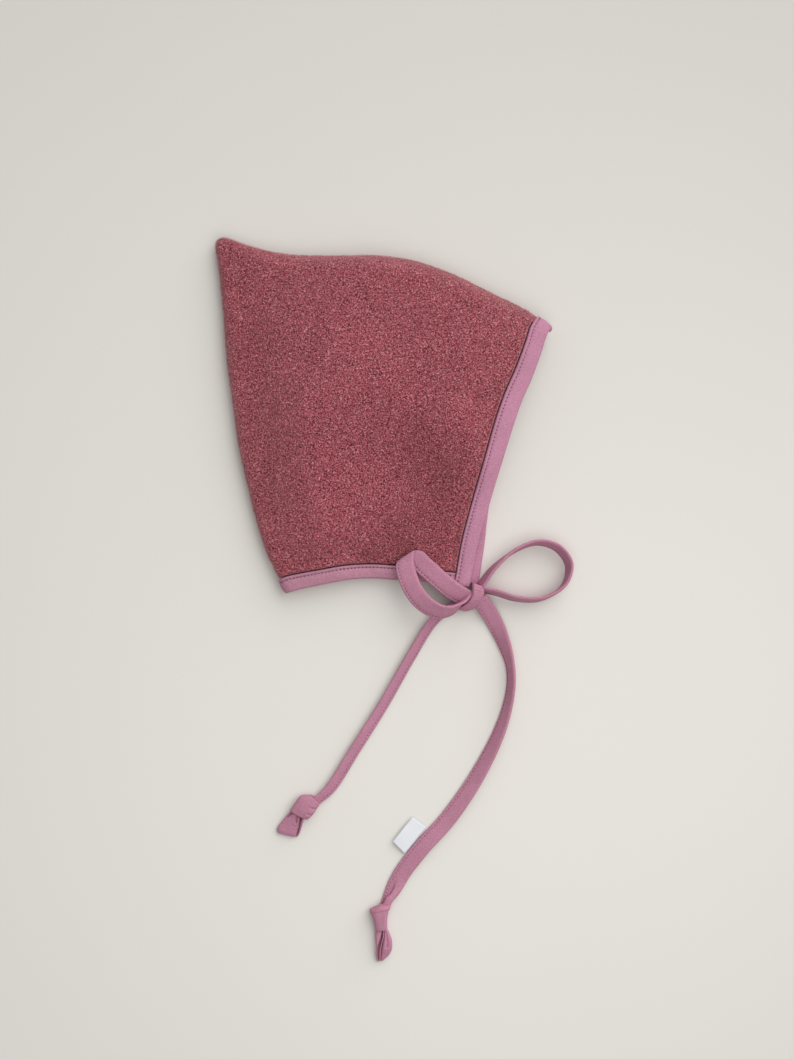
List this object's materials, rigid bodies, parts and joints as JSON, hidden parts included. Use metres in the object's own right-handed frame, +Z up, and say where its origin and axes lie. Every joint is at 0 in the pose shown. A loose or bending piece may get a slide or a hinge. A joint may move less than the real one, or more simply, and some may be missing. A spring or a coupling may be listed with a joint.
{
  "type": "baby pixie bonnet",
  "caption": "Pointed baby bonnet in felted wool lying on its side, with bound face and neck edges and soft ties in a bow that end in knots.",
  "frame": {"origin": "on the table, under the middle of the bonnet without its ties", "axes": "+Z up from the table, +Y from the neck edge to the crown, +X from the back seam to the open face edge"},
  "size_m": [0.2044, 0.4145, 0.0252],
  "materials": {
    "wool": "felted, matte, dusty rose melange",
    "face_tape": "smooth matte jersey, mauve pink",
    "neck_tape": "smooth matte jersey, mauve pink",
    "tie": "smooth matte jersey, mauve pink",
    "label": "white woven tape"
  },
  "bodies": {
    "root": {"right_side_panel": "wool", "left_side_panel": "wool", "face_binding": "face_tape", "neck_binding": "neck_tape", "bow_knot": "tie", "bow_loop_left": "tie", "bow_loop_right": "tie", "tie_tail_left": "tie", "tie_tail_right": "tie", "tail_knot_left": "tie", "tail_knot_right": "tie", "label": "label"}
  },
  "joints": []
}
